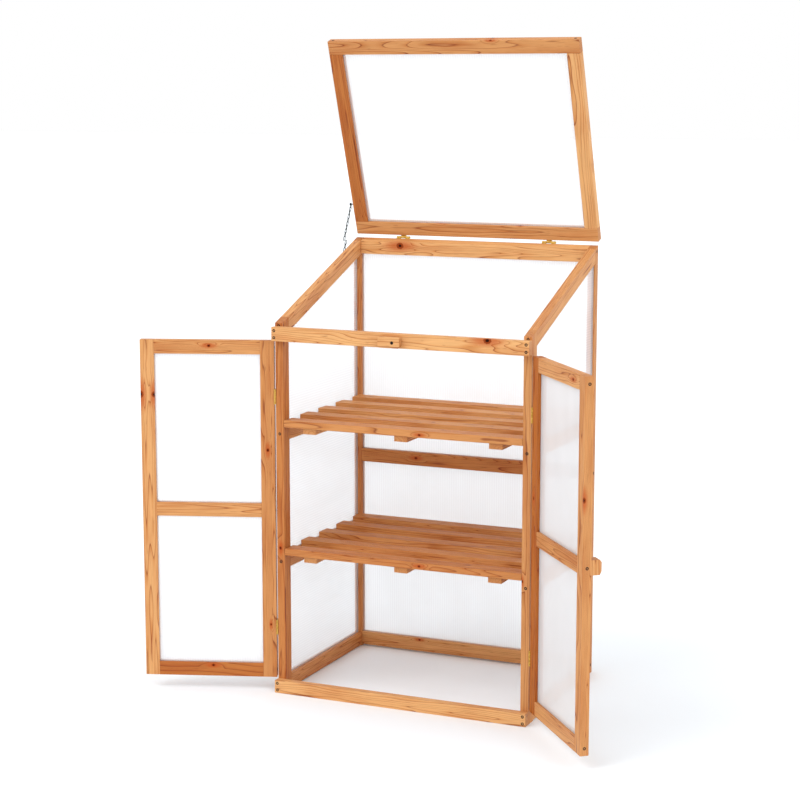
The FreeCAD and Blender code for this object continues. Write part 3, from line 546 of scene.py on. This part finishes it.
def make_sheet(node):
    """A twin-wall pane that carries its painted reflection and shade for the slant it is seen at, and how far
    along and across its ribs each point is.
    """
    mesh = whole_mesh(node)
    sheet = mesh.verts.layers.float_vector.new("sheet")
    slant_reflection_and_shade = mesh.verts.layers.float.new("slant_reflection_and_shade")
    matrix, order = squared_for(node), rib_direction(node)
    for point in mesh.verts:
        point[sheet] = ordered(matrix, order, point.co)
        # The door sheets get painted reflection and shade for the slant they are seen at.
        point[slant_reflection_and_shade] = SLANT_REFLECTION_AND_SHADE.get(node, 0.0)
    new_piece(node + "_sheet", mesh, node, "twin_wall")


# ---------------------------------------------------------------- crosshead screws


def cross_outline(reach, half):
    """A cross's outline, with a point halfway along each of its edges, counterclockwise."""
    arm = [(reach, -half), (reach, half), (half, half)]
    corners = []
    for quarter in range(4):
        turn = Matrix.Rotation(quarter * math.pi / 2, 2)
        corners += [turn @ Vector(corner) for corner in arm]
    outline = []
    for first, second in zip(corners, corners[1:] + corners[:1]):
        outline += [first, (first + second) / 2]
    return outline


def circle_like(outline, radius):
    """A circle's points in the same directions as an outline's."""
    return [point.normalized() * radius for point in outline]


def add_screw(mesh, foot, way, length):
    """A countersunk screw with a cross recess. foot is the middle of its head's top, way where it points."""
    outline = cross_outline(RECESS_REACH, RECESS_HALF)
    steps = [
        ([point * RECESS_TAPER for point in outline], RECESS_DEPTH),
        (outline, 0.0),
        (circle_like(outline, HEAD_RADIUS * HEAD_FLAT), HEAD_CROWN),
        (circle_like(outline, HEAD_RADIUS), HEAD_EDGE),
        (circle_like(outline, SHANK_RADIUS), HEAD_DEPTH),
        (circle_like(outline, SHANK_RADIUS), length * SHANK_SHARE),
        (circle_like(outline, SHANK_RADIUS * TIP_SHARE), length),
    ]
    side = way.orthogonal().normalized()
    other = way.cross(side)
    rings = []
    for points, depth in steps:
        rings.append([mesh.verts.new(foot + side * point.x + other * point.y + way * depth)
                      for point in points])
    count = len(outline)
    for upper, lower in zip(rings, rings[1:]):
        for number in range(count):
            after = (number + 1) % count
            mesh.faces.new((upper[number], upper[after], lower[after], lower[number]))
    mesh.faces.new(rings[0])
    mesh.faces.new(list(reversed(rings[-1])))


def make_screws(node):
    """Crosshead screws where a CAD node has its plain ones, each read from its own solid."""
    plain = whole_mesh(node)
    matrix = squared_for(node)
    back = matrix.inverted()
    made = bmesh.new()
    for group in islands(plain):
        places = [matrix @ point.co for point in group]
        low, high = box_of(places)
        size = high - low
        middle = (low + high) / 2
        axis = max(range(3), key=lambda number: size[number])
        across = [number for number in range(3) if number != axis]
        rim = max(places, key=lambda place: sum((place[number] - middle[number]) ** 2 for number in across))
        head_is_low = rim[axis] < middle[axis]
        foot = middle.copy()
        foot[axis] = low[axis] if head_is_low else high[axis]
        way = Vector((0, 0, 0))
        way[axis] = 1.0 if head_is_low else -1.0
        add_screw(made, back @ foot, back @ way, size[axis])
    plain.free()
    bmesh.ops.recalc_face_normals(made, faces=made.faces)
    new_piece(node + "_crosshead", made, node, "black_screw")


# ---------------------------------------------------------------- assembly

SLOT_OF = {part["node"]: part["material_slot"] for part in frame["record"]["subparts"]}
ROUND_HEADED = ("frame_stay_screw", "lid_stay_screw")       # the screws that hold the chain keep their solids

for node, slot in SLOT_OF.items():
    if slot == "timber":
        make_board(node)
    elif slot == "twin_wall":
        make_sheet(node)
    elif slot == "black_screw" and node not in ROUND_HEADED:
        make_screws(node)
    else:
        finish = "chain_steel" if node in ROUND_HEADED else slot
        for held in frame["nodes"][node].material_slots:
            held.material = MATERIALS[finish]

# ---------------------------------------------------------------- stage, light and camera


def build_stage():
    """A floor that reaches out of sight."""
    corners = [(-FLOOR_REACH, -FLOOR_REACH, 0), (FLOOR_REACH, -FLOOR_REACH, 0),
               (FLOOR_REACH, FLOOR_REACH, 0), (-FLOOR_REACH, FLOOR_REACH, 0)]
    data = bpy.data.meshes.new("floor")
    data.from_pydata(corners, [], [(0, 1, 2, 3)])
    data.materials.append(floor_material())
    floor = bpy.data.objects.new("floor", data)
    bpy.context.scene.collection.objects.link(floor)


def build_light():
    """White light from all around, and two broad suns."""
    world = bpy.data.worlds.new("studio")
    world.use_nodes = True
    background = world.node_tree.nodes["Background"]
    background.inputs["Color"].default_value = grey(1.0)
    background.inputs["Strength"].default_value = 1.0
    bpy.context.scene.world = world
    for name, (strength, turn, width) in SUNS.items():
        data = bpy.data.lights.new(name, "SUN")
        data.energy = strength
        data.angle = math.radians(width)
        sun = bpy.data.objects.new(name, data)
        sun.rotation_euler = [math.radians(angle) for angle in turn]
        bpy.context.scene.collection.objects.link(sun)


def build_camera():
    """The camera that looks at the open frame from its front right."""
    data = bpy.data.cameras.new("camera")
    data.lens = CAMERA_LENS
    data.sensor_width = SENSOR_WIDTH
    camera = bpy.data.objects.new("camera", data)
    camera.location = CAMERA_PLACE
    camera.rotation_euler = [math.radians(angle) for angle in CAMERA_TURN]
    bpy.context.scene.collection.objects.link(camera)
    bpy.context.scene.camera = camera


build_stage()
build_light()
build_camera()
bpy.context.scene.view_settings.view_transform = "Standard"
